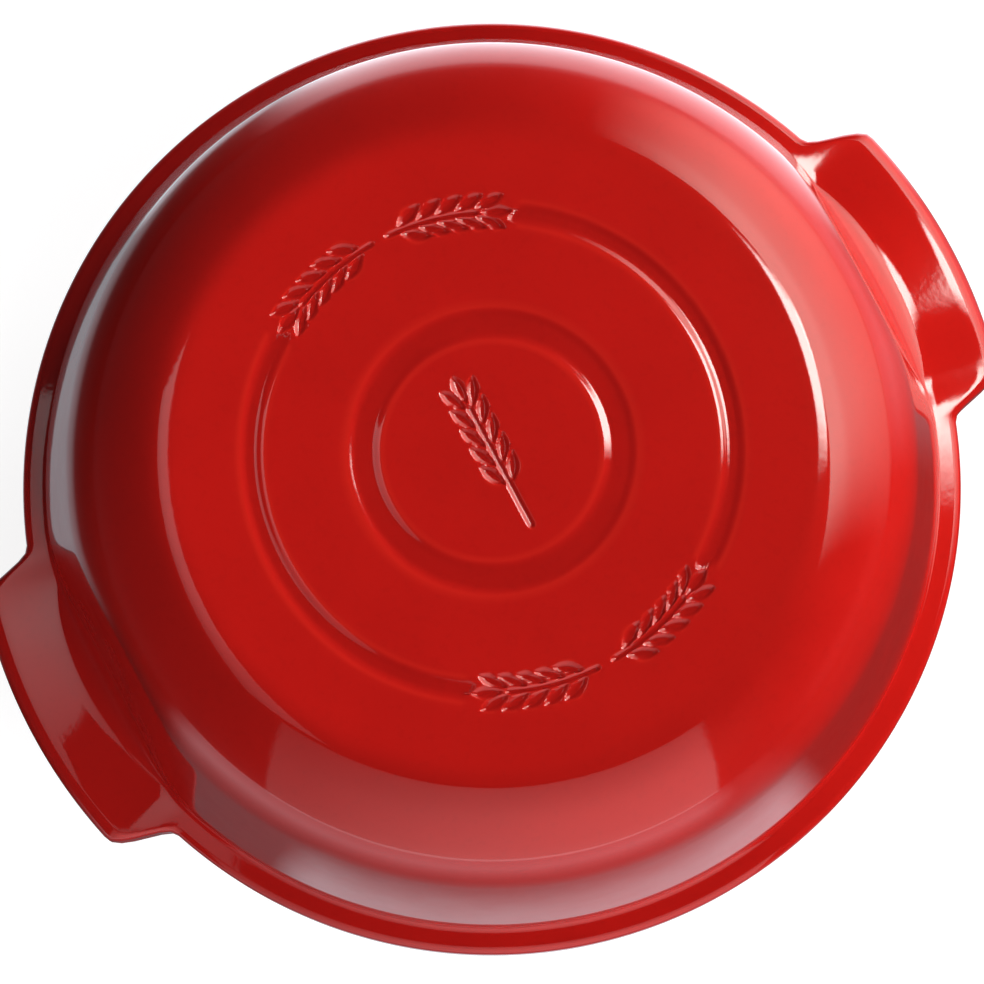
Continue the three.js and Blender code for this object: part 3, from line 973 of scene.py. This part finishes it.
def placeLamp(name, panel):
    data = bpy.data.lights.new(name, "AREA")
    data.shape = "RECTANGLE"
    data.size, data.size_y = panel["size"]
    lamp = bpy.data.objects.new(name, data)
    scene.collection.objects.link(lamp)
    lamp.location = alongView(*panel["spot"])
    if "target" in panel:
        aim(lamp, alongView(*panel["target"]))
    else:
        lamp.rotation_euler = (0, 0, math.radians(photoCamera["turn"]))
    lamp.visible_camera = False
    width, height = panel["size"]
    data.energy = math.pi * width * height
    return lamp


def makeLamps():
    for name, panel in lamps.items():
        lamp = placeLamp(name, {"target": lampTarget, **panel})
        lamp.data.energy *= panel["glow"]
        lamp.visible_glossy = False


# A narrow beam on the crown, which fades from the picture's left to its right
def makeBeam():
    data = bpy.data.lights.new("crownBeam", "SPOT")
    lamp = bpy.data.objects.new("crownBeam", data)
    scene.collection.objects.link(lamp)
    lamp.location = (0, 0, crownBeam["height"])
    lamp.rotation_euler = (0, 0, math.radians(photoCamera["turn"]))
    throw = crownBeam["height"] - lid["top"]
    data.spot_size = 2 * math.atan(crownBeam["radius"] / throw)
    data.spot_blend = 0.05
    data.shadow_soft_size = crownBeam["soft"]
    data.energy = 4 * math.pi ** 2 * throw ** 2
    lamp.visible_camera = lamp.visible_glossy = False
    data.use_nodes = True
    tree = data.node_tree
    place = put(tree, "ShaderNodeNewGeometry").outputs["Parametric"]
    across = put(tree, "ShaderNodeSeparateXYZ", (place,)).outputs[0]
    fall = put(tree, "ShaderNodeMapRange", {
        "Value": across, "To Min": crownBeam["glow"], "To Max": 0.0,
    }).outputs[0]
    tree.links.new(fall, tree.nodes["Emission"].inputs["Strength"])


def makeBoards():
    for name, panel in boards.items():
        lamp = placeLamp(name, panel)
        lamp.data.color = panel["color"]
        lamp.visible_diffuse = False
        lamp.data.use_nodes = True
        tree = lamp.data.node_tree
        place = put(tree, "ShaderNodeNewGeometry").outputs["Parametric"]
        across, up, _ = put(tree, "ShaderNodeSeparateXYZ", (place,)).outputs
        peak = max(glow for _, glow in panel["glow"])
        ramp = put(tree, "ShaderNodeValToRGB", (up,))
        stops = ramp.color_ramp.elements
        for share, _ in panel["glow"][1:-1]:
            stops.new(share)
        for stop, (share, glow) in zip(stops, panel["glow"]):
            stop.position = share
            stop.color = (glow / peak, glow / peak, glow / peak, 1)
        left, right = panel["sides"]
        side = smoothStep(tree, across, 0.0, sideRamp, left, right)
        glow = calc(tree, "MULTIPLY", calc(tree, "MULTIPLY", ramp.outputs[0], side), peak)
        for spot, fade in zip((across, up), panel["fade"]):
            edge = calc(tree, "SUBTRACT", 0.5, calc(tree, "ABSOLUTE", calc(tree, "SUBTRACT", spot, 0.5)))
            glow = calc(tree, "MULTIPLY", glow, smoothStep(tree, edge, 0.0, fade, 0.0, 1.0))
        tree.links.new(glow, tree.nodes["Emission"].inputs["Strength"])


def makeWorld():
    world = bpy.data.worlds.new("studio")
    scene.world = world
    world.use_nodes = True
    tree = world.node_tree
    tree.nodes.clear()
    path = put(tree, "ShaderNodeLightPath").outputs
    dim = put(tree, "ShaderNodeBackground", {"Color": (0.9, 0.92, 1.0, 1), "Strength": 0.06}).outputs[0]
    white = put(tree, "ShaderNodeBackground", {"Color": (1, 1, 1, 1), "Strength": 1.0}).outputs[0]
    mixed = put(tree, "ShaderNodeMixShader", (path["Is Camera Ray"], dim, white)).outputs[0]
    put(tree, "ShaderNodeOutputWorld", (mixed,))


makeFloor()
makeLamps()
makeBeam()
makeBoards()
makeWorld()
scene.view_settings.view_transform = "Standard"
print("floor and light set")
